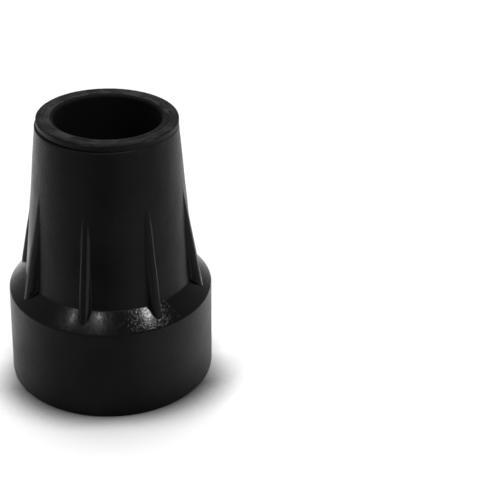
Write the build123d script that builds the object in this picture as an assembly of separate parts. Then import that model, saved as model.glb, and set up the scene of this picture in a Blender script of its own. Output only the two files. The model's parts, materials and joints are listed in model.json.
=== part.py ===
from build123d import *
import os
from math import radians, tan

# A rubber tip for the end of a walking cane, moulded in one piece.
# Lengths are in millimetres. The cane's axis is Z and the foot stands on Z = 0.

# Cane and main sizes
SHAFT_D = 19.0          # cane shaft, and the socket that grips it
TIP_H = 51.3            # ground to the top of the rim
SKIRT_H = 17.6          # ground to the shoulder's edge
FOOT_FLARE = 0.4        # how far the foot stands out past the shoulder's edge
SHOULDER_W = 3.3        # width of the sloping shoulder, seen from above
SHOULDER_RISE = 3.1     # height of the sloping shoulder
NECK_WALL = 6.15        # rubber round the socket where the tube leaves the shoulder
RIM_WALL = 2.95         # rubber round the socket at the rim

# Rim
RIM_H = 1.1             # height of the rim's outer wall
RIM_SETBACK = 0.15      # how far the rim stands back from the tube
SEAM_DEPTH = 0.4        # mould seam under the rim
SEAM_H = 0.45
MOUTH_BREAK = 0.6       # broken edge at the socket's mouth
RIM_BREAK = 0.35        # broken outer edge

# Ribs
RIB_COUNT = 8
RIB_RISE = 17.9         # neck to the point where a rib fades into the tube
RIB_SETBACK = 1.25      # shoulder's edge to the foot of a rib's crest
RIB_END_W = 0.6         # width at the skirt's height, under the shoulder's slope
RIB_END_L = 2.2         # height over which the foot of a rib widens
RIB_FOOT_W = 1.6        # full width, above that foot
RIB_TOP_W = 1.3         # width where the rib fades
RIB_BEVEL = 0.25        # bevel along each edge of a rib's crest
RIB_DRAFT_DEG = 8.0     # lean of each side of a rib

# Sole
LAND_W = 0.9            # flat ring that touches the ground
SOLE_DISH = 2.15        # how far the sole hollows up inside that ring
GROOVE_DEPTH = 4.4      # grooves, measured from the ring between them
GROOVE_DRAFT = 0.2      # how far each groove wall leans in
OUTER_GROOVE_W = 2.7
RING_W = 2.6            # raised ring between the grooves
INNER_GROOVE_W = 3.9
STUD_D = 9.86           # round stud in the middle
STUD_RECESS = 4.1       # ground to the stud's face
GATE_D = 2.1            # dimple where the rubber was let into the mould
GATE_FLOOR_D = 1.2
GATE_DEPTH = 1.6
SOLE_WEB = 5.5          # rubber between the groove floors and the socket floor

# Skirt edges
FOOT_BREAK = 0.4        # broken edge round the ground ring
SHOULDER_R = 0.5        # rounded edge between skirt and shoulder

# Overrun of a rib into the tube above the point where it fades
OVERRUN = 1.0

# Radii and heights that follow from the sizes above
socket_r = SHAFT_D / 2
rim_r = socket_r + RIM_WALL
tube_top_r = rim_r + RIM_SETBACK
neck_r = socket_r + NECK_WALL
shoulder_r = neck_r + SHOULDER_W
foot_r = shoulder_r + FOOT_FLARE
neck_z = SKIRT_H + SHOULDER_RISE
rim_z = TIP_H - RIM_H
tube_top_z = rim_z - SEAM_H
groove_floor_z = SOLE_DISH + GROOVE_DEPTH
socket_floor_z = groove_floor_z + SOLE_WEB
stud_r = STUD_D / 2
ring_in_r = stud_r + INNER_GROOVE_W
ring_out_r = ring_in_r + RING_W
dish_r = ring_out_r + OUTER_GROOVE_W
land_r = foot_r - FOOT_BREAK - LAND_W


def tube_r(z):
    """Outer radius of the tapering tube at a height."""
    return neck_r + (tube_top_r - neck_r) * (z - neck_z) / (tube_top_z - neck_z)


def sole_corners():
    """Underside from the axis outward: gate dimple, stud, grooves, ring, dish and land.

    Each corner is a radius, a height and the rounding there.
    """
    return [
        (0, STUD_RECESS + GATE_DEPTH, 0),
        (GATE_FLOOR_D / 2, STUD_RECESS + GATE_DEPTH, 0),
        (GATE_D / 2, STUD_RECESS, 0),
        (stud_r, STUD_RECESS, 0),
        (stud_r + GROOVE_DRAFT, groove_floor_z, 0),
        (ring_in_r - GROOVE_DRAFT, groove_floor_z, 0),
        (ring_in_r, SOLE_DISH, 0),
        (ring_out_r, SOLE_DISH, 0),
        (ring_out_r + GROOVE_DRAFT, groove_floor_z, 0),
        (dish_r - GROOVE_DRAFT, groove_floor_z, 0),
        (dish_r, SOLE_DISH, 0),
        (land_r, 0, 0),
    ]


def outside_corners():
    """Outside from the ground up: skirt, shoulder, tube, mould seam and rim."""
    return [
        (foot_r - FOOT_BREAK, 0, 0),
        (foot_r, FOOT_BREAK, 0),
        (shoulder_r, SKIRT_H, SHOULDER_R),
        (neck_r, neck_z, 0),
        (tube_top_r, tube_top_z, 0),
        (tube_top_r - SEAM_DEPTH, tube_top_z + SEAM_H / 2, 0),
        (rim_r, rim_z, 0),
        (rim_r, TIP_H - RIM_BREAK, 0),
        (rim_r - RIM_BREAK, TIP_H, 0),
    ]


def socket_corners():
    """Socket from its mouth down to its floor."""
    return [
        (socket_r + MOUTH_BREAK, TIP_H, 0),
        (socket_r, TIP_H - MOUTH_BREAK, 0),
        (socket_r, socket_floor_z, 0),
        (0, socket_floor_z, 0),
    ]


def body():
    """Everything that is round: the half section turned about the cane's axis."""
    corners = sole_corners() + outside_corners() + socket_corners()
    points = [(r, z) for r, z, rounding in corners]
    roundings = [rounding for r, z, rounding in corners]
    section = make_face(Plane.XZ * FilletPolyline(*points, radius=roundings, close=True))
    return revolve(section, Axis.Z)


def rib_section(z, crest_r, width):
    """Level cut through one rib: a tapering bar from inside the wall out to a bevelled crest."""
    inner_r = (socket_r + tube_r(z)) / 2
    bevel_r = crest_r - RIB_BEVEL
    outer_half = width / 2
    crest_half = outer_half - RIB_BEVEL
    inner_half = outer_half + (bevel_r - inner_r) * tan(radians(RIB_DRAFT_DEG))
    points = [
        (inner_r, -inner_half),
        (bevel_r, -outer_half),
        (crest_r, -crest_half),
        (crest_r, crest_half),
        (bevel_r, outer_half),
        (inner_r, inner_half),
    ]
    return Plane.XY.offset(z) * make_face(Polyline(*points, close=True))


def rib():
    """One rib, running from a narrow foot under the shoulder's slope up to where it fades into the tube."""
    foot_crest_r = shoulder_r - RIB_SETBACK
    foot_z = SKIRT_H + RIB_SETBACK * SHOULDER_RISE / SHOULDER_W
    top_z = neck_z + RIB_RISE
    lean = (tube_r(top_z) - foot_crest_r) / (top_z - foot_z)
    cuts = [(SKIRT_H, RIB_END_W), (foot_z + RIB_END_L, RIB_FOOT_W), (top_z + OVERRUN, RIB_TOP_W)]
    sections = [rib_section(z, foot_crest_r + lean * (z - foot_z), width) for z, width in cuts]
    return loft(sections, ruled=True)


def cane_tip():
    """The whole tip: the round body with its ring of ribs."""
    tip = body()
    one_rib = rib()
    for turn in range(RIB_COUNT):
        tip += Rot(0, 0, turn * 360 / RIB_COUNT) * one_rib
    return tip.solid()


os.makedirs("parts", exist_ok=True)
export_step(cane_tip(), "parts/cane_tip.step")
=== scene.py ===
# %% [markdown]
# # A rubber cane tip
#
# The foot of a walking cane is one moulding of black rubber. A socket at the top grips the
# shaft, ribs brace the tapering tube against a sloping shoulder, and a wide skirt ends in a
# dished sole with ring-shaped grooves. This lesson starts from the solid model of that tip.
# It makes a finer mesh of the same shape, gives it a rubber finish, and sets up a white
# table, soft light and a camera.

# %% Load the solid model
import json
import math

import bmesh
import bpy
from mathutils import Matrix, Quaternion, Vector


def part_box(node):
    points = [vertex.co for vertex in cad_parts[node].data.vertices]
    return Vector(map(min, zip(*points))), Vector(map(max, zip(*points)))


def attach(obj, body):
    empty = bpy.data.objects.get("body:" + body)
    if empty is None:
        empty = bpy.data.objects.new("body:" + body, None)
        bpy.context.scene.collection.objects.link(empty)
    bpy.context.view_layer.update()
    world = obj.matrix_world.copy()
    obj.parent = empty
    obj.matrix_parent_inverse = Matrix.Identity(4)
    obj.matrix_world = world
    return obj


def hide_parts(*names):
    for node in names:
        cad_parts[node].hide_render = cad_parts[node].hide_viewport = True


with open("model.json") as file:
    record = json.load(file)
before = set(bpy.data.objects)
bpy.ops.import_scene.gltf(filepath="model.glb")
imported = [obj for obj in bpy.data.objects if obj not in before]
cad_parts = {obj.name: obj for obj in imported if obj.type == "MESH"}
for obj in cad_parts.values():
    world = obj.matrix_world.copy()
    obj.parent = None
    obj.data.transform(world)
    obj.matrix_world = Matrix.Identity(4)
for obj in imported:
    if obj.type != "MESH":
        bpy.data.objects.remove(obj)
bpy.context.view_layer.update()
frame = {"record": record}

# %% [markdown]
# ## Sizes
#
# The finer mesh has to be the same size as the solid model, so the main sizes are read from
# it: the height and the foot from its box, the socket from the record of its mounts. The
# other sizes are those of the moulding itself. They could be measured on the solid model's
# mesh too, but a named size in millimetres is easier to read and to change.

# %% Main sizes
MM = 0.001
box_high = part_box("cane_tip")[1]
tip_height = box_high.z
foot_radius = box_high.x
socket = next(mount for mount in frame["record"]["mounts"] if mount["name"] == "shaft_socket")
socket_radius = socket["dims"]["r_mm"] * MM
socket_floor = socket["pos_m"][2] - socket["dims"]["length_mm"] * MM
print("tip", round(tip_height / MM, 2), "mm tall, socket", round(2 * socket_radius / MM, 2), "mm wide")

# %% Sizes of the outside
SKIRT_HEIGHT = 17.6 * MM
FOOT_FLARE = 0.4 * MM
SHOULDER_RISE = 3.1 * MM
NECK_WALL = 6.15 * MM
RIB_RISE = 17.9 * MM
SEAM_HEIGHT = 0.45 * MM
SEAM_DEPTH = 0.7 * MM
RIM_WALL = 2.95 * MM
RIM_HEIGHT = 1.1 * MM
RIM_SETBACK = 0.15 * MM
shoulder_radius = foot_radius - FOOT_FLARE
neck_radius = socket_radius + NECK_WALL
neck_height = SKIRT_HEIGHT + SHOULDER_RISE
rib_top = neck_height + RIB_RISE
rim_radius = socket_radius + RIM_WALL
rim_bottom = tip_height - RIM_HEIGHT
seam_bottom = rim_bottom - SEAM_HEIGHT
tube_top_radius = rim_radius + RIM_SETBACK
print("tube", round(2 * neck_radius / MM, 2), "mm wide at the neck,",
      round(2 * tube_top_radius / MM, 2), "mm under the rim")

# %% Sizes of the sole
GROUND_RING_WIDTH = 1.3 * MM
DISH_HEIGHT = 2.15 * MM
GROOVE_DEPTH = 4.4 * MM
GROOVE_LEAN = 0.2 * MM
STUD_RADIUS = 4.93 * MM
STUD_FACE = 4.1 * MM
INNER_GROOVE_WIDTH = 3.9 * MM
RING_WIDTH = 2.6 * MM
OUTER_GROOVE_WIDTH = 2.7 * MM
GATE_RADIUS = 1.05 * MM
GATE_FLOOR_RADIUS = 0.6 * MM
GATE_DEPTH = 1.6 * MM
SCAR_RADIUS = 2.3 * MM
land_radius = foot_radius - GROUND_RING_WIDTH
groove_floor = DISH_HEIGHT + GROOVE_DEPTH
ring_inner = STUD_RADIUS + INNER_GROOVE_WIDTH
ring_outer = ring_inner + RING_WIDTH
dish_radius = ring_outer + OUTER_GROOVE_WIDTH
gate_floor = STUD_FACE + GATE_DEPTH
print("raised ring", round(2 * ring_inner / MM, 2), "to", round(2 * ring_outer / MM, 2), "mm across")

# %% [markdown]
# ## Half section
#
# Apart from its ribs the tip is round, so half of its section says nearly everything. The
# list below walks along that section: from the dimple in the middle of the sole outward,
# up the outside, over the rim and down into the socket. Each corner has a radius, a height,
# a rounding, and the name of the stretch that starts there. Rubber leaves a mould with soft
# edges, and those edges catch the light, so every one of them gets a true arc. A Bevel
# modifier could round them too, but only all alike, and here each edge has its own size.

# %% Slopes and roundings
GATE_EDGE = 0.15 * MM
SOFT_EDGE = 0.25 * MM
GROOVE_CORNER = 0.4 * MM
SKIRT_EDGE = 0.5 * MM
SHOULDER_BULGE = 0.1 * MM
SHOULDER_CURVE = 42 * MM
RIM_EDGE = 0.35 * MM
MOUTH_EDGE = 0.55 * MM
FLOOR_CORNER = 1.2 * MM
RIB_CLEAR = 1 * MM
shoulder_edge = Vector((shoulder_radius, SKIRT_HEIGHT))
neck_corner = Vector((neck_radius, neck_height))
slope_across = (neck_corner - shoulder_edge).orthogonal().normalized()
shoulder_middle = (shoulder_edge + neck_corner) / 2 - slope_across * SHOULDER_BULGE
tube_start = rib_top + RIB_CLEAR
tube_taper = (tube_top_radius - neck_radius) / (seam_bottom - neck_height)


def tube_radius(height):
    """Radius of the tapering tube at a height."""
    return neck_radius + tube_taper * (height - neck_height)


print("tube's radius shrinks by", round(-tube_taper, 3), "mm for each mm of height")

# %% Corners of the half section
RIM_LINE_WALL = 1.25 * MM
RIM_LINE_DEPTH = 0.1 * MM
RIM_LINE_DROP = 0.05 * MM
RIM_DIP = 0.2 * MM
rim_line_radius = socket_radius + RIM_LINE_WALL
rim_line_top = tip_height - RIM_LINE_DROP

section_corners = [
    (0, gate_floor, 0, "gate"),
    (GATE_FLOOR_RADIUS, gate_floor, 0, "gate"),
    (GATE_RADIUS, STUD_FACE, GATE_EDGE, "scar"),
    (SCAR_RADIUS, STUD_FACE, 0, "sole"),
    (STUD_RADIUS, STUD_FACE, SOFT_EDGE, "sole"),
    (STUD_RADIUS + GROOVE_LEAN, groove_floor, GROOVE_CORNER, "sole"),
    (ring_inner - GROOVE_LEAN, groove_floor, GROOVE_CORNER, "sole"),
    (ring_inner, DISH_HEIGHT, SOFT_EDGE, "ring"),
    (ring_outer, DISH_HEIGHT, SOFT_EDGE, "sole"),
    (ring_outer + GROOVE_LEAN, groove_floor, GROOVE_CORNER, "sole"),
    (dish_radius - GROOVE_LEAN, groove_floor, GROOVE_CORNER, "sole"),
    (dish_radius, DISH_HEIGHT, SOFT_EDGE, "sole"),
    (land_radius, 0, 0, "sole"),
    (foot_radius, 0, SOFT_EDGE, "skirt"),
    (*shoulder_edge, SKIRT_EDGE, "shoulder"),
    (*shoulder_middle, SHOULDER_CURVE, "shoulder"),
    (*neck_corner, SOFT_EDGE, "ribs"),
    (tube_radius(tube_start), tube_start, 0, "tube"),
    (tube_top_radius, seam_bottom, 0, "seam"),
    (tube_top_radius - SEAM_DEPTH, (seam_bottom + rim_bottom) / 2, 0, "seam"),
    (rim_radius, rim_bottom, 0, "rim"),
    (rim_radius, tip_height, RIM_EDGE, "rim_band"),
    (rim_line_radius + RIM_LINE_DEPTH, rim_line_top, 0, "rim_lip"),
    (rim_line_radius, rim_line_top - RIM_LINE_DEPTH, 0, "rim_lip"),
    (rim_line_radius - RIM_LINE_DEPTH, rim_line_top, 0, "rim_lip"),
    (socket_radius, tip_height - RIM_DIP, MOUTH_EDGE, "socket"),
    (socket_radius, socket_floor, FLOOR_CORNER, "socket"),
    (0, socket_floor, 0, "socket"),
]
print("corners of the half section:", len(section_corners))

# %% [markdown]
# A straight run needs few rows of points, except where something is shaped out of it: the
# ribs want close rows on the shoulder and the tube. Even rows all along would look the same,
# but they would take many more points. A row close to each end of a run keeps the shading of
# the flat part flat.

# %% Arcs and straight runs
ARC_STEPS = 4
HOLD = 0.12 * MM


def arc_points(before, corner, after, rounding, gap):
    """Points of the arc that rounds a corner between two straight runs."""
    if not rounding:
        return [corner]
    back = (before - corner).normalized()
    onward = (after - corner).normalized()
    half_angle = back.angle(onward) / 2
    centre = corner + (back + onward).normalized() * rounding / math.sin(half_angle)
    setback = rounding / math.tan(half_angle)
    first = (corner + back * setback - centre).normalized()
    last = (corner + onward * setback - centre).normalized()
    steps = max(ARC_STEPS, round(rounding * first.angle(last) / gap))
    return [centre + first.slerp(last, step / steps) * rounding for step in range(steps + 1)]


def run_points(start, end, gap):
    """Points along a straight run, with one close to each end."""
    run = end - start
    count = max(1, round(run.length / gap))
    cuts = [run.length * cut / count for cut in range(1, count)]
    if run.length > 4 * HOLD:
        inner_cuts = [cut for cut in cuts if 2 * HOLD < cut < run.length - 2 * HOLD]
        cuts = [HOLD, *inner_cuts, run.length - HOLD]
    return [start + run.normalized() * cut for cut in cuts]


print("an arc has at least", ARC_STEPS, "steps")

# %% Rows of the half section
row_gap = {
    "gate": 0.5 * MM, "scar": 0.16 * MM, "sole": 1.5 * MM, "ring": 1.5 * MM, "skirt": 1.4 * MM,
    "shoulder": 0.2 * MM, "ribs": 0.5 * MM, "tube": 1.2 * MM, "seam": 0.3 * MM, "rim": 0.7 * MM,
    "rim_band": 0.7 * MM, "rim_lip": 0.7 * MM, "socket": 4 * MM,
}


def section_rows(corners):
    """Every row of the half section, as a point and the name of its stretch."""
    spots = [Vector(corner[:2]) for corner in corners]
    following = spots[1:] + spots[:1]
    arcs = [arc_points(spots[i - 1], spots[i], following[i], rounding, row_gap[stretch])
            for i, (_, _, rounding, stretch) in enumerate(corners)]
    rows = []
    for i, (_, _, _, stretch) in enumerate(corners):
        points = list(arcs[i])
        if i + 1 < len(corners):
            points += run_points(arcs[i][-1], arcs[i + 1][0], row_gap[stretch])
        rows += [(point, stretch) for point in points]
    return rows


rows = section_rows(section_corners)
print("rows of the half section:", len(rows))

# %% [markdown]
# ## What each row carries
#
# Each row also carries numbers that later steps read. The first set is about finish: how dull
# the rubber is, how grainy, how much it shows of the fine rings that a lathe cut into the
# mould, and how wavy the wall is. The mould was polished at the shoulder and the tube, so they
# are smoothest. The sole and the rim are dull. The finish could be painted on the mesh, but a
# number for each stretch follows the section when a size is changed.

# %% Finish of each stretch
dullness = {
    "gate": 0.7, "scar": 0.6, "sole": 0.6, "ring": 0.55, "skirt": 0.38, "shoulder": 0.14,
    "ribs": 0.32, "tube": 0.32, "seam": 0.6, "rim": 0.42, "rim_band": 0.7, "rim_lip": 0.8,
    "socket": 0.8,
}
grain_share = {
    "gate": 0.6, "scar": 0.6, "sole": 0.4, "ring": 0.25, "skirt": 0.32, "shoulder": 0.19,
    "ribs": 0.27, "tube": 0.27, "seam": 0.3, "rim": 0.3, "rim_band": 0.6, "rim_lip": 0.7,
    "socket": 0.2,
}
turned_share = {"ring": 0.4, "rim_band": 0.7, "rim_lip": 1.2}
wave_share = {"shoulder": 1.0, "ribs": 1.0, "tube": 1.0, "skirt": 0.6}
print("glossiest stretch:", min(dullness, key=dullness.get))

# %% [markdown]
# The second set is about shape, wear and painted shade: whether ribs may grow on a row, how
# deep it lies in the seam under the rim, whether it moves with the rim, how much of the torn
# lip round the gate it takes, how pale its wear makes it, and whether it takes the dust haze.
# The socket and the gate's dimple get no haze, so they stay black as painted shade in those
# hollows. The edges of the sole rub on the ground, so they are palest at the very edge. Masks
# drawn by hand could hold these numbers too, but short formulas keep them in step with the sizes.

# %% Shares of scar, wear and shift
SCAR_RISE = 4
SCAR_FALL = 2
EDGE_PALENESS = 0.5
WORN_REACH = 0.35 * MM
WORN_EDGES = [(STUD_RADIUS, STUD_FACE), (ring_inner, DISH_HEIGHT),
              (ring_outer, DISH_HEIGHT), (dish_radius, DISH_HEIGHT)]
CORE_FADE = 10 * MM


def scar_share(radius):
    """How much of the torn lip a row takes: all at the dimple's edge, none at the scar's."""
    if radius < GATE_RADIUS:
        return (radius / GATE_RADIUS) ** SCAR_RISE
    return max(0, (SCAR_RADIUS - radius) / (SCAR_RADIUS - GATE_RADIUS)) ** SCAR_FALL


def edge_share(point):
    """How pale a row's wear makes it: most at the edges of the stud, the ring and the dish."""
    nearest = min((point - Vector(edge)).length for edge in WORN_EDGES)
    return EDGE_PALENESS * max(0, 1 - nearest / WORN_REACH)


def shift_share(point, stretch):
    """How far a row moves with the rim: all the way at the rim, less and less down the socket."""
    if stretch == "socket":
        return max(0.0, 1 - (tip_height - point.y) / CORE_FADE)
    return float(stretch in ("rim", "rim_band", "rim_lip"))


print("worn edges:", len(WORN_EDGES))

# %% Put the numbers on the half section
row_numbers = {
    "braced": [float(stretch in ("shoulder", "ribs")) for point, stretch in rows],
    "seam_fill": [tube_top_radius - point.x if stretch == "seam" else 0.0 for point, stretch in rows],
    "rim_share": [shift_share(point, stretch) for point, stretch in rows],
    "scar": [scar_share(point.x) if stretch in ("gate", "scar") else 0.0 for point, stretch in rows],
    "worn_edge": [edge_share(point) for point, stretch in rows],
    "waved": [wave_share.get(stretch, 0.0) for point, stretch in rows],
    "dull": [dullness[stretch] for point, stretch in rows],
    "grain": [grain_share[stretch] for point, stretch in rows],
    "turned": [turned_share.get(stretch, 0.0) for point, stretch in rows],
    # No haze in the gate's dimple or the socket: painted shade in those hollows.
    "dust_except_shaded_hollows": [float(stretch not in ("gate", "socket")) for point, stretch in rows],
}
half_section = bpy.data.meshes.new("half_section")
half_section.from_pydata([(point.x, 0, point.y) for point, stretch in rows],
                         [(row, row + 1) for row in range(len(rows) - 1)], [])
for name, numbers in row_numbers.items():
    half_section.attributes.new(name, "FLOAT", "POINT").data.foreach_set("value", numbers)
print("row numbers:", ", ".join(row_numbers))

# %% [markdown]
# ## A short way to write node trees
#
# The shape and the finish are both worked out by nodes. A sum such as a + b * c takes two
# Math nodes and five links, and a long formula written that way can't be read. The small
# class below stands for one number in a tree. Python's own signs on it add the Math nodes.

# %% Numbers in a node tree
class Field:
    """A number that a node tree works out for every point. Sums with it add Math nodes."""

    def __init__(self, tree, socket):
        self.tree = tree
        self.socket = socket

    def math(self, operation, *others):
        """What a Math node makes of the number and of others."""
        made = self.tree.nodes.new("ShaderNodeMath")
        made.operation = operation
        for socket, value in zip(made.inputs, (self, *others)):
            plug(self.tree, socket, value)
        return Field(self.tree, made.outputs[0])

    def held(self):
        """The number, kept between 0 and 1."""
        return self.math("MAXIMUM", 0).math("MINIMUM", 1)

    def __add__(self, other):
        return self.math("ADD", other)

    def __sub__(self, other):
        return self.math("SUBTRACT", other)

    def __mul__(self, other):
        return self.math("MULTIPLY", other)

    def __truediv__(self, other):
        return self.math("DIVIDE", other)


def plug(tree, socket, value):
    """Gives a socket a field, another node's output or a plain value."""
    if isinstance(value, Field):
        tree.links.new(value.socket, socket)
    elif isinstance(value, bpy.types.NodeSocket):
        tree.links.new(value, socket)
    else:
        socket.default_value = value


def add_node(tree, kind, plugs, **settings):
    """Adds a node, sets its options and fills its sockets by name."""
    made = tree.nodes.new(kind)
    for option, value in settings.items():
        setattr(made, option, value)
    for name, value in plugs.items():
        plug(tree, made.inputs[name], value)
    return made


print("helpers for node trees:", Field.__name__, plug.__name__, add_node.__name__)

# %% [markdown]
# ## Black rubber
#
# The rubber is black all through and slightly satin where the mould was polished. It
# reflects little when seen face on and a lot at a glancing angle, so the table shows as
# pale bands along both sides of the tube. Small irregularities keep it from looking sprayed
# on. Fine pits break up the highlights, slow mottling and smudges vary the gloss, and a thin
# haze lies on it in clouds, though not in the socket or the gate's dimple, which are left black
# as painted shade. Edges are paler with wear, and on the ribs' bevels and the scar's points
# the paleness is also a painted highlight. The rim and the sole's ring also show the rings of
# the lathe, scuffed pale in places. An image of real rubber could give all this, but it would
# blur close up. Noise in the tip's own coordinates stays sharp, and it stays put when the tip
# is turned or exported.

# %% Noise and carried numbers
NOISE_MIDDLE = 0.5
STREAKS_PER_METRE = 3500
STREAKS_ROUND = 4


def noise(tree, place, scale, detail):
    """Noise from 0 to 1 at a place. The larger the scale, the finer it is."""
    made = add_node(tree, "ShaderNodeTexNoise", {"Vector": place, "Scale": scale, "Detail": detail})
    return Field(tree, made.outputs[0])


def carried(tree, name):
    """A number that the skin carries at every point."""
    return Field(tree, add_node(tree, "ShaderNodeAttribute", {}, attribute_name=name).outputs["Fac"])


def streaks(tree, place):
    """Fine marks that run round the axis, as a lathe leaves them in a mould."""
    parts = add_node(tree, "ShaderNodeSeparateXYZ", {"Vector": place})
    level = add_node(tree, "ShaderNodeCombineXYZ",
                     {"X": parts.outputs["X"], "Y": parts.outputs["Y"]}).outputs["Vector"]
    outward = add_node(tree, "ShaderNodeVectorMath", {0: level}, operation="NORMALIZE")
    distance = add_node(tree, "ShaderNodeVectorMath", {0: level}, operation="LENGTH")
    heading = add_node(tree, "ShaderNodeSeparateXYZ", {"Vector": outward.outputs["Vector"]})
    ring_place = add_node(tree, "ShaderNodeCombineXYZ", {
        "X": Field(tree, heading.outputs["X"]) * STREAKS_ROUND,
        "Y": Field(tree, heading.outputs["Y"]) * STREAKS_ROUND,
        "Z": Field(tree, distance.outputs["Value"]) * STREAKS_PER_METRE,
    })
    return noise(tree, ring_place.outputs["Vector"], 1, detail=2)


def mixed(tree, factor, first, second):
    """One colour where the factor is 0, the other where it is 1."""
    made = add_node(tree, "ShaderNodeMix", {"Factor": factor}, data_type="RGBA")
    colours = [socket for socket in made.inputs if socket.type == "RGBA"]
    plug(tree, colours[0], first)
    plug(tree, colours[1], second)
    return next(socket for socket in made.outputs if socket.type == "RGBA")


print("lathe marks are", round(1000 / STREAKS_PER_METRE, 2), "mm apart")

# %% Make the rubber
RUBBER_BLACK = (0.0012, 0.0012, 0.0013, 1)
RUBBER_HAZE = (0.0056, 0.0056, 0.0058, 1)
# Pale grey for edges with wear, also used for highlights painted on the ribs' bevels and the scar's
# points.
WORN_AND_HIGHLIT_GREY = (0.034, 0.034, 0.0345, 1)
REFLECTANCE = 0.06
GRAIN_PER_METRE = 2800
GRAIN_HEIGHT = 0.05 * MM
PIT_FLOOR = 0.38
PIT_EDGE = 0.52
MOTTLE_PER_METRE = 260
MOTTLE_DULLING = 0.1
SMUDGE_PER_METRE = 90
SMUDGE_DULLING = 0.2
MARKS_DULLING = 0.8
CLOUD_START = 0.35
CLOUD_GAIN = 2.5
SCUFF_START = 1.46
SCUFF_GAIN = 5


def make_rubber():
    """Near-black satin rubber, dull where the row says so."""
    material = bpy.data.materials.new("black_rubber")
    material.use_nodes = True
    tree = material.node_tree
    shader = tree.nodes["Principled BSDF"]
    shader.inputs["Specular IOR Level"].default_value = REFLECTANCE
    place = add_node(tree, "ShaderNodeTexCoord", {}).outputs["Object"]
    turned = carried(tree, "turned")
    marks = streaks(tree, place)
    mottle = noise(tree, place, MOTTLE_PER_METRE, detail=4)
    smudge = noise(tree, place, SMUDGE_PER_METRE, detail=3)

    roughness = carried(tree, "dull") + (mottle - NOISE_MIDDLE) * MOTTLE_DULLING
    roughness = roughness + (smudge - NOISE_MIDDLE) * SMUDGE_DULLING
    roughness = roughness + (marks - NOISE_MIDDLE) * turned * MARKS_DULLING
    plug(tree, shader.inputs["Roughness"], roughness)

    # Haze in clouds, left out of the socket and the gate's dimple as painted shade there.
    cloud = ((smudge - CLOUD_START) * CLOUD_GAIN).held() * carried(tree, "dust_except_shaded_hollows")
    hazy = mixed(tree, cloud, RUBBER_BLACK, RUBBER_HAZE)
    scuffed = ((marks + mottle + smudge - SCUFF_START) * SCUFF_GAIN).held() * turned
    # Paler at wear and scuffs, and where highlights are painted on the ribs' bevels and the scar's points.
    pale = carried(tree, "worn_and_highlit") + scuffed
    plug(tree, shader.inputs["Base Color"], mixed(tree, pale, hazy, WORN_AND_HIGHLIT_GREY))

    pits = noise(tree, place, GRAIN_PER_METRE, detail=3)
    grain = ((pits - PIT_FLOOR) / (PIT_EDGE - PIT_FLOOR)).held()
    relief = grain * carried(tree, "grain") + marks * turned
    bump = add_node(tree, "ShaderNodeBump", {"Height": relief, "Distance": GRAIN_HEIGHT})
    plug(tree, shader.inputs["Normal"], bump.outputs["Normal"])
    return material


rubber = make_rubber()
print("made", rubber.name, "with", len(rubber.node_tree.nodes), "nodes")

# %% [markdown]
# ## Rolling the section into the tip
#
# A Geometry Nodes tree makes the skin as a rolled-up sheet. A flat grid has one row of
# points for each row of the half section. Every point looks up its row's radius and height
# and takes its turn round the axis from its column. The columns crowd together at the ribs,
# where the shape changes fastest. The tree could spin the section as a curve instead, but
# then the ribs would need a separate mesh and a boolean cut, and their feet would be sharp.

# %% Inputs of the tree
RIB_COUNT = 8
COLUMNS_PER_RIB = 52
RIB_SETBACK = 1.25 * MM
rib_foot_radius = shoulder_radius - RIB_SETBACK
rib_foot_height = SKIRT_HEIGHT + RIB_SETBACK * SHOULDER_RISE / (shoulder_radius - neck_radius)
tip_inputs = {
    "Columns": COLUMNS_PER_RIB * RIB_COUNT,
    "Rib Count": RIB_COUNT,
    "Crowding": 0.6,
    "Rib Foot Radius": rib_foot_radius,
    "Rib Foot Height": rib_foot_height,
    "Rib Lean": (tube_radius(rib_top) - rib_foot_radius) / (rib_top - rib_foot_height),
    "Crest Half Width": 0.48 * MM,
    "Bevel Spread": math.tan(math.radians(45)),
    "Side Half Width": 0.83 * MM,
    "Side Spread": math.tan(math.radians(8)),
    "Rib End Length": 2.2 * MM,
    "Crest Rounding": 0.15 * MM,
    "Root Rounding": 0.15 * MM,
    # The ribs' bevels are painted pale: partly wear, partly a painted highlight that is stronger on one
    # side.
    "Pale Bevel Depth": 0.1 * MM,
    "Bevel Wear And Highlight": 0.34,
    "Highlight On One Side": 0.18,
    "Seam Side": math.radians(-165),
    "Rim Shift": -0.15 * MM,
    "Scar Height": 0.4 * MM,
    "Scar Reach": 0.45 * MM,
    "Scar Points": 7,
    "Scar Point Share": 0.2,
    "Scar Lift": 0.15,
    "Scar Paleness": 4.0,
    "Waviness": 0.12 * MM,
}


def new_tree(name, inputs):
    """An empty Geometry Nodes tree with named inputs, and the identifier of each."""
    tree = bpy.data.node_groups.new(name, "GeometryNodeTree")
    tree.interface.new_socket("Geometry", in_out="INPUT", socket_type="NodeSocketGeometry")
    tree.interface.new_socket("Geometry", in_out="OUTPUT", socket_type="NodeSocketGeometry")
    identifiers = {}
    for label, value in inputs.items():
        kind = "NodeSocketInt" if isinstance(value, int) else "NodeSocketFloat"
        made = tree.interface.new_socket(label, in_out="INPUT", socket_type=kind)
        identifiers[label] = made.identifier
    return tree, identifiers


tip_tree, tip_identifiers = new_tree("rolled_tip", tip_inputs)
given = tip_tree.nodes.new("NodeGroupInput")
size = {label: Field(tip_tree, given.outputs[label]) for label in tip_inputs}
print("tree inputs:", ", ".join(tip_inputs))

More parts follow.
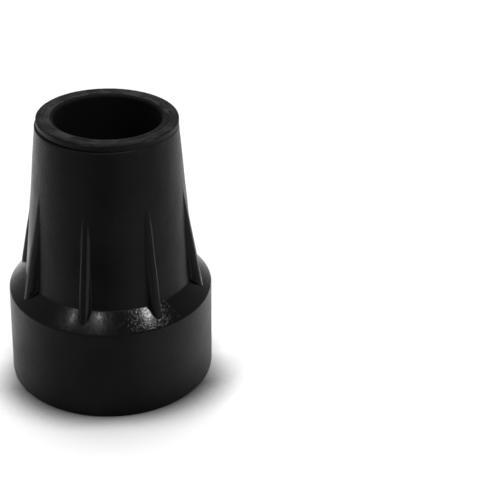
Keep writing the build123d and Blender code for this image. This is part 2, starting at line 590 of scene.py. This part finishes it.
# %% Row, column and turn of every point
section = given.outputs["Geometry"]
row_count = Field(tip_tree, add_node(
    tip_tree, "GeometryNodeAttributeDomainSize", {"Geometry": section}).outputs["Point Count"])
index = Field(tip_tree, tip_tree.nodes.new("GeometryNodeInputIndex").outputs["Index"])
row = index.math("MODULO", row_count)
column = ((index - row) / row_count).math("ROUND")
even_turn = column / size["Columns"] * math.tau
crowded = (even_turn * size["Rib Count"]).math("SINE") * size["Crowding"] / size["Rib Count"]
turn = even_turn - crowded
print("nodes for row, column and turn:", len(tip_tree.nodes))

# %% Radius and height of every point
def from_section(value, kind):
    """What a value is at the section's row."""
    picked = add_node(tip_tree, "GeometryNodeSampleIndex",
                      {"Geometry": section, "Value": value, "Index": row}, data_type=kind)
    return picked.outputs["Value"]


def from_row(name):
    """The number that the section's row carries under a name."""
    named = add_node(tip_tree, "GeometryNodeInputNamedAttribute", {"Name": name}, data_type="FLOAT")
    return Field(tip_tree, from_section(named.outputs["Attribute"], "FLOAT"))


position = tip_tree.nodes.new("GeometryNodeInputPosition").outputs["Position"]
section_place = from_section(position, "FLOAT_VECTOR")
section_parts = add_node(tip_tree, "ShaderNodeSeparateXYZ", {"Vector": section_place})
radius = Field(tip_tree, section_parts.outputs["X"])
height = Field(tip_tree, section_parts.outputs["Z"])
print("nodes with radius and height:", len(tip_tree.nodes))

# %% [markdown]
# ### Ribs
#
# Seen from above, a rib is a bar with a narrow crest, bevelled edges and sides that lean so
# that the moulding comes free. Its crest runs in a straight line from the shoulder up to the
# tube, where the rib fades out. At any turn round the axis, a point on the rib lies on the
# crest, on a bevel or on a side, whichever is nearest the axis, and the tip's skin is the tube
# or the rib, whichever is further out. Smooth versions of those choices round the edges. Near
# its foot the flanks close round the end of the crest, so the rib ends in a soft point.

# %% Place across and along a rib
half_turn = math.pi / RIB_COUNT
off_rib = turn.math("WRAP", half_turn, -half_turn)
across = off_rib.math("SINE").math("ABSOLUTE")
along = off_rib.math("COSINE")
climb = height - size["Rib Foot Height"]
crest = size["Rib Foot Radius"] + size["Rib Lean"] * climb
narrowed = crest / size["Rib Foot Radius"]
end_share = ((size["Rib End Length"] - climb) / size["Rib End Length"]).math("MAXIMUM", 0)
print("ribs stand", round(math.degrees(2 * half_turn)), "degrees apart")

# %% Grow the ribs
def flank(width_label, spread_label):
    """Radius of a rib's flank at this turn. Near the foot it closes round the end of the crest."""
    half_width = size[width_label] * narrowed
    past_end = half_width * end_share
    leaning = along * size[spread_label]
    reach = half_width + crest * size[spread_label]
    left_over = reach * reach - past_end * past_end
    spread = (across * across * left_over + past_end * past_end * leaning * leaning).math("SQRT")
    return left_over / (leaning * reach + spread)


top = crest / along
bevel = flank("Crest Half Width", "Bevel Spread")
side = flank("Side Half Width", "Side Spread")
bevelled = top.math("SMOOTH_MIN", bevel, size["Crest Rounding"])
rib = bevelled.math("SMOOTH_MIN", side, size["Crest Rounding"])
ribbed = radius.math("SMOOTH_MAX", rib, size["Root Rounding"])
radius_with_ribs = radius + (ribbed - radius) * from_row("braced")
print("nodes with ribs:", len(tip_tree.nodes))

# %% [markdown]
# The bevels are where a rib rubs against things, so they are made paler than the rest. The
# paleness is partly wear and partly a painted highlight along the rib's edges. One side of each
# rib gets more of it, and that part is painted light. It could be painted on an image instead,
# but the tree knows where a bevel lies: there it cuts below both the crest and the side.

# %% Pale the ribs' bevels, as wear and painted highlight
cut_off = top.math("MINIMUM", side) - bevel
raised = (rib - radius) / size["Pale Bevel Depth"]
# One side of each rib gets extra paleness: a painted highlight, not wear.
rubbed_and_highlit = off_rib.math("SIGN") * size["Highlight On One Side"] + size["Bevel Wear And Highlight"]
rib_worn_and_highlit = (cut_off / size["Pale Bevel Depth"]).held() * raised.held() * from_row("braced") * rubbed_and_highlit
print("nodes with worn ribs:", len(tip_tree.nodes))

# %% [markdown]
# ### Marks of the mould
#
# Three small marks tell that this is a moulding. The rim and the socket's mouth were shaped by
# a second mould plate that sat a little to one side, so the seam under the rim is open on the
# other side. The dimple in the sole has a torn lip where the rubber was let in and broken off:
# a ragged star, painted pale at its points, partly as wear and partly as a painted highlight.
# And the walls are not perfectly true: they wave by a few hundredths of a millimetre. All three
# are small changes of radius and height at a turn.

# %% Lobes and waves round the axis
STRETCH_UP = 60
LOBES = 2.6
WAVES = 3.2
round_place = add_node(tip_tree, "ShaderNodeCombineXYZ", {
    "X": turn.math("COSINE"), "Y": turn.math("SINE"), "Z": height * STRETCH_UP}).outputs["Vector"]
lobes = noise(tip_tree, round_place, LOBES, detail=2)
waves = noise(tip_tree, round_place, WAVES, detail=1)
print("nodes with lobes and waves:", len(tip_tree.nodes))

# %% Mark the mould's seam, waves and scar
SEAM_SLOPE = 0.7
SEAM_MIDDLE = 0.5
seam_shut = ((turn - size["Seam Side"]).math("COSINE") * -SEAM_SLOPE + SEAM_MIDDLE).held()
skin_radius = radius_with_ribs + from_row("seam_fill") * seam_shut
skin_radius = skin_radius + (waves - NOISE_MIDDLE) * size["Waviness"] * from_row("waved")

star = (turn * size["Scar Points"]).math("COSINE") * size["Scar Point Share"]
torn = lobes + star - NOISE_MIDDLE
skin_radius = skin_radius - from_row("scar") * size["Scar Reach"] * torn
skin_height = height - from_row("scar") * size["Scar Height"] * (torn + size["Scar Lift"])
# The star's points are painted pale: partly wear, partly a painted highlight.
scar_worn_and_highlit = (from_row("scar") * torn * size["Scar Paleness"]).held()
# Paleness of the ribs' bevels, the sole's edges and the scar: wear, plus a painted highlight on the bevels
# and the scar.
worn_and_highlit = rib_worn_and_highlit + from_row("worn_edge") + scar_worn_and_highlit

shift = from_row("rim_share") * size["Rim Shift"]
skin_x = skin_radius * turn.math("COSINE") + shift * size["Seam Side"].math("COSINE")
skin_y = skin_radius * turn.math("SINE") + shift * size["Seam Side"].math("SINE")
print("nodes with the mould's marks:", len(tip_tree.nodes))

# %% [markdown]
# ### Closing the skin
#
# The grid's points go to the places that were worked out. The first and last columns then
# meet, and the first and last rows shrink to a point each, so welding close points turns the
# sheet into a closed skin. A Weld modifier could do that too, but here it is just one more
# node. The finish numbers are stored on the skin's points for the rubber to read.

# %% Put the points in place and close the skin
WELD = 0.001 * MM
finish_numbers = {name: from_row(name) for name in ("dull", "grain", "turned", "dust_except_shaded_hollows")}
finish_numbers["worn_and_highlit"] = worn_and_highlit
skin_place = add_node(tip_tree, "ShaderNodeCombineXYZ", {"X": skin_x, "Y": skin_y, "Z": skin_height})
skin = add_node(tip_tree, "GeometryNodeMeshGrid", {
    "Size X": 1.0, "Size Y": 1.0,
    "Vertices X": size["Columns"] + 1, "Vertices Y": row_count}).outputs["Mesh"]
for name, numbers in finish_numbers.items():
    skin = add_node(tip_tree, "GeometryNodeStoreNamedAttribute",
                    {"Geometry": skin, "Name": name, "Value": numbers},
                    data_type="FLOAT", domain="POINT").outputs["Geometry"]
closing_steps = [
    ("GeometryNodeSetPosition", {"Position": skin_place.outputs["Vector"]}),
    ("GeometryNodeMergeByDistance", {"Distance": WELD}),
    ("GeometryNodeSetShadeSmooth", {}),
    ("GeometryNodeRealizeInstances", {}),
    ("GeometryNodeSetMaterial", {"Material": rubber}),
]
for kind, plugs in closing_steps:
    skin = add_node(tip_tree, kind, {"Geometry": skin, **plugs}).outputs["Geometry"]
add_node(tip_tree, "NodeGroupOutput", {"Geometry": skin})
print("nodes in the tree:", len(tip_tree.nodes))

# %% [markdown]
# The tree has done its work once it is evaluated, so its result is kept as a plain mesh and
# the modifier goes. The volume under the skin shows that it is closed and faces outward.

# %% Keep the skin as a plain mesh
tip = bpy.data.objects.new("rubber_skin", half_section)
bpy.context.scene.collection.objects.link(tip)
roll = tip.modifiers.new("roll", "NODES")
roll.node_group = tip_tree
for label, value in tip_inputs.items():
    roll[tip_identifiers[label]] = value
skin_mesh = bpy.data.meshes.new_from_object(tip.evaluated_get(bpy.context.evaluated_depsgraph_get()))
tip.modifiers.remove(roll)
tip.data = skin_mesh

measured = bmesh.new()
measured.from_mesh(skin_mesh)
open_edges = sum(not edge.is_manifold for edge in measured.edges)
print("skin:", len(measured.verts), "points,", len(measured.faces), "faces,", open_edges, "open edges,",
      round(measured.calc_volume(signed=True) / MM ** 3), "cubic mm")
measured.free()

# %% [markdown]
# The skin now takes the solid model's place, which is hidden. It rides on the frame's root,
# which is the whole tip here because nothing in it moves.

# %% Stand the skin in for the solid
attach(tip, "root")
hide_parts("cane_tip")
print(tip.name, "stands in for the solid")

# %% [markdown]
# ## White table and soft light
#
# The tip stands on a white table under even light. The world is white wherever it is seen
# directly or in a reflection, and dim as a source of light. Most light comes from one large
# soft lamp, high up and a little behind the tip, so the tip's short soft shadow falls to the
# front. Together they light the table at a level of about 1, at which a colour comes out as
# it is written and the table is white. A ring of large lamps could give the same even light,
# but one lamp and a white world are easier to balance.

# %% White world
WORLD_LIGHT = 0.15


def seen(tree):
    """1 for rays that come from the camera or from a reflection, 0 for light that bounces."""
    path = tree.nodes.new("ShaderNodeLightPath")
    direct = Field(tree, path.outputs["Is Camera Ray"])
    mirrored = Field(tree, path.outputs["Is Glossy Ray"])
    through = Field(tree, path.outputs["Is Transmission Ray"])
    return direct.math("MAXIMUM", mirrored).math("MAXIMUM", through)


world = bpy.data.worlds.new("white_room")
world.use_nodes = True
bpy.context.scene.world = world
background = world.node_tree.nodes["Background"]
background.inputs["Color"].default_value = (1, 1, 1, 1)
world_strength = seen(world.node_tree) * (1 - WORLD_LIGHT) + WORLD_LIGHT
plug(world.node_tree, background.inputs["Strength"], world_strength)
print("world light", WORLD_LIGHT)

# %% Large soft lamp
CAMERA_SIDE = 17
LAMP_SHARE = 0.92
LAMP_ELEVATION = 80
LAMP_SPREAD = math.radians(26)


def from_axis(azimuth, elevation):
    """Direction away from the tip. Azimuth turns from the front to the right."""
    aside = math.radians(azimuth)
    rise = math.radians(elevation)
    level = math.cos(rise)
    return Vector((math.sin(aside) * level, -math.cos(aside) * level, math.sin(rise)))


lamp_side = from_axis(CAMERA_SIDE + 180, LAMP_ELEVATION)
big_lamp = bpy.data.lights.new("big_lamp", "SUN")
big_lamp.angle = LAMP_SPREAD
big_lamp.energy = LAMP_SHARE * math.pi / lamp_side.z
big_lamp_object = bpy.data.objects.new("big_lamp", big_lamp)
big_lamp_object.rotation_euler = lamp_side.to_track_quat("Z", "Y").to_euler()
bpy.context.scene.collection.objects.link(big_lamp_object)
print("light on the table:", round(LAMP_SHARE + WORLD_LIGHT, 2))

# %% [markdown]
# ### Shade at the foot
#
# A thing that stands on a table darkens the strip beside its foot, where it hides much of the
# room. This lamp alone leaves that strip too pale. More lamps could deepen it, but they would
# change the light on the rubber. So the table asks the Ambient Occlusion node how open it is
# towards the foot, and its colour darkens where little is open. It asks in three directions:
# two for the front, left and right, and one for the back. The shade fades out at the sides,
# and only the camera sees it: reflections in the rubber see a plain white table.

# %% Shade on the table
CONTACT_REACH = 12 * MM
SHADE_RISE = 20
SHADE_SAMPLES = 16
FULL_SHADE_OPENNESS = 0.37
NO_SHADE_OPENNESS = 0.66
SHADE_DEPTH = 0.88
SIDE_FADE = 10 * MM
LEFT_TO_FOOT = 142
RIGHT_TO_FOOT = 264
RIGHT_DEEPER = 0.04
BACK_LIGHTER = 0.1


def openness(tree, azimuth):
    """How open the table is towards one side: low where the foot stands in the way."""
    side_on = add_node(tree, "ShaderNodeCombineXYZ", dict(zip("XYZ", from_axis(azimuth, SHADE_RISE))))
    made = add_node(tree, "ShaderNodeAmbientOcclusion",
                    {"Distance": CONTACT_REACH, "Normal": side_on.outputs["Vector"]},
                    samples=SHADE_SAMPLES)
    return Field(tree, made.outputs["AO"])


def contact_shade(tree, open_share):
    """How dark the table is where little of its surroundings is open."""
    made = add_node(tree, "ShaderNodeMapRange", {
        "Value": open_share, "From Min": FULL_SHADE_OPENNESS, "From Max": NO_SHADE_OPENNESS,
        "To Min": SHADE_DEPTH, "To Max": 0.0})
    return Field(tree, made.outputs["Result"])


def shaded_white(tree):
    """White, darker beside the foot for the camera alone."""
    place = add_node(tree, "ShaderNodeTexCoord", {}).outputs["Object"]
    ahead = Field(tree, add_node(
        tree, "ShaderNodeVectorMath", {0: place, 1: from_axis(CAMERA_SIDE, 0)},
        operation="DOT_PRODUCT").outputs["Value"])
    left_open = openness(tree, LEFT_TO_FOOT)
    right_open = openness(tree, RIGHT_TO_FOOT) - RIGHT_DEEPER
    back_open = openness(tree, CAMERA_SIDE) + BACK_LIGHTER
    front_open = left_open.math("MINIMUM", right_open)
    front_shade = contact_shade(tree, front_open) * (ahead / SIDE_FADE).held()
    back_shade = contact_shade(tree, back_open) * (ahead / -SIDE_FADE).held()
    in_view = Field(tree, tree.nodes.new("ShaderNodeLightPath").outputs["Is Camera Ray"])
    return (front_shade + back_shade) * in_view * -1 + 1


print("shade reaches", round(CONTACT_REACH / MM), "mm from the foot")

# %% White table
TABLE_HALF = 3.0


def matt(name):
    """A material with no gloss, and its shader."""
    material = bpy.data.materials.new(name)
    material.use_nodes = True
    shader = material.node_tree.nodes["Principled BSDF"]
    shader.inputs["Roughness"].default_value = 1.0
    return material, shader


table_mesh = bpy.data.meshes.new("table")
table_corners = [(-TABLE_HALF, -TABLE_HALF, 0), (TABLE_HALF, -TABLE_HALF, 0),
                 (TABLE_HALF, TABLE_HALF, 0), (-TABLE_HALF, TABLE_HALF, 0)]
table_mesh.from_pydata(table_corners, [], [(0, 1, 2, 3)])
table_white, table_shader = matt("table_white")
table_shader.inputs["Specular IOR Level"].default_value = 0.0
plug(table_white.node_tree, table_shader.inputs["Base Color"], shaded_white(table_white.node_tree))
table_mesh.materials.append(table_white)
table = bpy.data.objects.new("table", table_mesh)
bpy.context.scene.collection.objects.link(table)
print("table", 2 * TABLE_HALF, "m wide")

# %% [markdown]
# ### Lamps that only show in reflections
#
# Three small softboxes stand high round the front: one well to the left, one a little left of
# the camera and one well to the right. They are there for their reflections. The sloping
# shoulder faces upward just enough to mirror them, so each makes one bright grainy patch
# there, while the upright tube mirrors only the table. Pale patches painted on the rubber
# would look alike from one side, but they wouldn't move as reflections do. The softboxes add
# nothing to the light on the table.

# %% Softboxes for the shoulder
SOFTBOX_DISTANCE = 0.5


def reflected_lamp(name, width, brightness):
    """A square lamp, so many times as bright as white, that only reflections show."""
    lamp = bpy.data.lights.new(name, "AREA")
    lamp.size = width
    lamp.energy = brightness * math.pi * width ** 2
    made = bpy.data.objects.new(name, lamp)
    made.visible_diffuse = False
    bpy.context.scene.collection.objects.link(made)
    print(name, "is", brightness, "times as bright as white")
    return made


def add_softbox(name, azimuth, elevation, width, brightness):
    """A softbox aimed at the shoulder."""
    away = from_axis(azimuth, elevation)
    softbox = reflected_lamp(name, width, brightness)
    softbox.location = Vector((0, 0, neck_height)) + away * SOFTBOX_DISTANCE
    softbox.rotation_euler = away.to_track_quat("Z", "Y").to_euler()


add_softbox("left_softbox", azimuth=-43, elevation=51, width=0.04, brightness=75)
add_softbox("front_softbox", azimuth=-8, elevation=60, width=0.045, brightness=90)
add_softbox("right_softbox", azimuth=74, elevation=54, width=0.075, brightness=165)

# %% [markdown]
# The tube stands upright, so it mirrors the table round the tip. A grey card on the table in
# front keeps the middle of the tube dark, and a bright pool on each side lights its flanks.
# Photographers lay black and white card round a black thing for the same reason. Card and
# pools show only in reflections.

# %% Grey card on the table
CARD_GREY = (0.3, 0.3, 0.3, 1)
CARD_LEFT = -10
CARD_RIGHT = 34
CARD_NEAR = 42 * MM
CARD_FAR = 260 * MM
card_lift = Vector((0, 0, 0.2 * MM))
card_mesh = bpy.data.meshes.new("grey_card")
card_corners = [(CARD_LEFT, CARD_NEAR), (CARD_RIGHT, CARD_NEAR),
                (CARD_RIGHT, CARD_FAR), (CARD_LEFT, CARD_FAR)]
card_mesh.from_pydata([from_axis(azimuth, 0) * distance + card_lift for azimuth, distance in card_corners],
                      [], [(0, 1, 2, 3)])
card_grey, card_shader = matt("card_grey")
card_shader.inputs["Base Color"].default_value = CARD_GREY
card_mesh.materials.append(card_grey)
card = bpy.data.objects.new("grey_card", card_mesh)
bpy.context.scene.collection.objects.link(card)
card.visible_camera = False
card.visible_diffuse = False
card.visible_shadow = False
print("grey card", round((CARD_FAR - CARD_NEAR) / MM), "mm long")

# %% Bright pools on the table
POOL_WIDTH = 0.2
POOL_DISTANCE = 0.124


def add_pool(name, azimuth, brightness):
    """A lamp flat on the table, shining up, which adds to the white there."""
    pool = reflected_lamp(name, POOL_WIDTH, brightness)
    pool.location = from_axis(azimuth, 0) * POOL_DISTANCE + card_lift
    pool.rotation_euler = (math.pi, 0, math.radians(azimuth))


add_pool("right_pool", azimuth=86, brightness=0.8)
add_pool("left_pool", azimuth=-105, brightness=0.6)

# %% [markdown]
# ## Camera
#
# The camera stands close and looks down on the tip with a long lens. The tip is left of the
# middle of the picture, so the camera aims at a spot on the table behind it and to the
# right. It is also tilted a little to one side. Shifting the lens could place the tip as
# well, but turning the camera is what a photographer with a plain lens does.

# %% Camera
camera_place = Vector((54.05, -172.63, 130.21)) * MM
camera_aim = Vector((18.82, 46.82, 0)) * MM
camera_roll = math.radians(2.55)
CAMERA_LENS = 80.27
CAMERA_CLIP = 0.01
camera = bpy.data.objects.new("camera", bpy.data.cameras.new("camera"))
camera.data.lens = CAMERA_LENS
camera.data.clip_start = CAMERA_CLIP
camera.location = camera_place
camera.rotation_mode = "QUATERNION"
camera.rotation_quaternion = ((camera_aim - camera_place).to_track_quat("-Z", "Y")
                              @ Quaternion((0, 0, 1), camera_roll))
bpy.context.scene.collection.objects.link(camera)
bpy.context.scene.camera = camera
bpy.context.scene.view_settings.view_transform = "Standard"
print("camera is", round((camera_place - Vector((0, 0, tip_height / 2))).length / MM), "mm from the tip")
